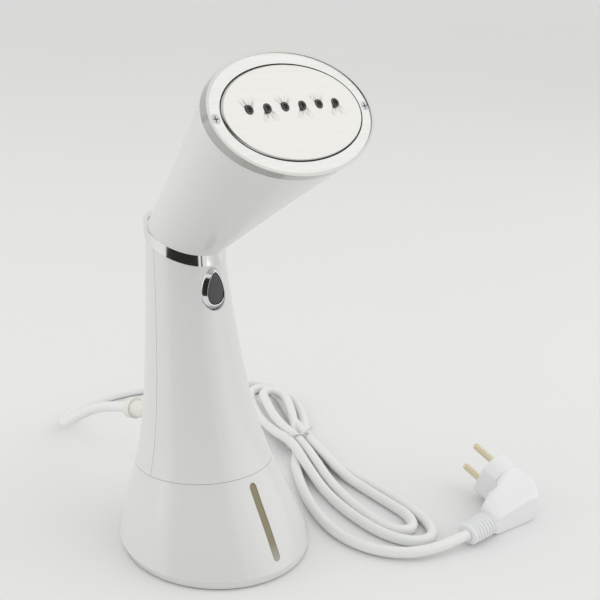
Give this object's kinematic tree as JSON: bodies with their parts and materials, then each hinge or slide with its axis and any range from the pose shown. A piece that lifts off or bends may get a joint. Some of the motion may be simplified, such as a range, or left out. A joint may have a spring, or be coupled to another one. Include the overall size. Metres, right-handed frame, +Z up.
{
  "type": "garment steamer",
  "caption": "Hand-held garment steamer with a flared water tank foot, tilted oval steam face and mains cord.",
  "frame": {"origin": "centre of the foot pad's underside, on the floor it stands on", "axes": "+Z up, -Y to the front where the steam face and trigger look, +X to the steamer's left"},
  "size_m": [0.2555, 0.3315, 0.3041],
  "materials": {
    "body_white": "polished off-white moulding, slightly cream",
    "cover_white": "polished off-white moulding",
    "window_olive": "translucent smoky olive, polished",
    "chrome_trim": "bright chrome plating on plastic",
    "rim_steel": "polished bright rim",
    "brushed_face": "fine brushed satin steel",
    "plate_steel": "satin pressed sheet with soft dimples",
    "button_dark": "dark warm grey, soft sheen",
    "nozzle_dark": "dark grey heat-proof plastic",
    "inner_black": "black heat-proof plastic",
    "seal_rubber": "soft dark grey rubber",
    "gland_cream": "soft cream-white sleeve",
    "cord_pvc": "smooth white cable jacket",
    "plug_white": "white moulded plug, soft sheen",
    "pin_brass": "nickel-washed brass pins",
    "tie_wire": "white coated wire tie",
    "screw_steel": "plated steel screws",
    "boiler_alu": "cast aluminium",
    "jacket_grey": "woven heat-proof wrap",
    "coil_copper": "varnished copper winding",
    "spring_steel": "spring wire",
    "tube_clear": "clear silicone hose",
    "core_plastic": "natural white plastic"
  },
  "bodies": {
    "handle": {"boiler_block": "boiler_alu", "bulkhead": "core_plastic", "cord_clamp": "core_plastic", "cord_gland": "gland_cream", "cord_hank": "cord_pvc", "cord_lead_in": "cord_pvc", "cord_lead_out": "cord_pvc", "cord_tail": "cord_pvc", "cord_tie": "tie_wire", "face_carrier": "inner_black", "face_flange": "brushed_face", "face_rim": "rim_steel", "face_screws": "screw_steel", "front_cover": "cover_white", "head_shell": "cover_white", "heating_element": "spring_steel", "inlet_filter": "core_plastic", "inlet_hose": "tube_clear", "insulation_jacket": "jacket_grey", "micro_switch": "inner_black", "neck_ring": "chrome_trim", "outlet_hose": "tube_clear", "plate_gasket": "seal_rubber", "plug_body": "plug_white", "plug_pins": "pin_brass", "plug_relief": "plug_white", "pump_coil": "coil_copper", "pump_core": "core_plastic", "pump_spring": "spring_steel", "pump_yoke": "screw_steel", "rear_cover": "cover_white", "steam_nozzles": "nozzle_dark", "steam_plate": "plate_steel", "suction_tube": "tube_clear", "switch_bracket": "core_plastic", "terminal_block": "core_plastic", "thermal_fuse": "inner_black", "thermostat": "screw_steel", "trigger_bezel": "chrome_trim", "trigger_guide": "inner_black", "trigger_spring": "spring_steel"},
    "tank": {"water_tank": "body_white", "tank_window": "window_olive", "tank_deck": "body_white", "mouth_seal": "seal_rubber", "foot_pad": "seal_rubber"},
    "trigger": {"trigger_button": "button_dark"},
    "plunger": {"switch_plunger": "core_plastic"},
    "armature": {"pump_armature": "spring_steel"}
  },
  "joints": [
    {"name": "tank_pull", "type": "slide", "parent": "handle", "child": "tank", "axis": [0, 0, -1], "range_m": [0, 0.06]},
    {"name": "trigger_press", "type": "slide", "parent": "handle", "child": "trigger", "axis": [0, 0.9903, -0.1392], "range_m": [0, 0.002], "stiffness_N_per_m": 900, "springref_m": -0.001, "deforming": ["trigger_spring"]},
    {"name": "plunger_press", "type": "slide", "parent": "handle", "child": "plunger", "axis": [0, 0.9903, -0.1392], "range_m": [0, 0.002]},
    {"name": "pump_stroke", "type": "slide", "parent": "handle", "child": "armature", "axis": [0, 0.1903, 0.9817], "range_m": [0, 0.003], "stiffness_N_per_m": 500, "springref_m": -0.001, "deforming": ["pump_spring"]}
  ],
  "couplings": [
    {"joint": "plunger_press", "follows": "trigger_press", "ratio": 1}
  ]
}
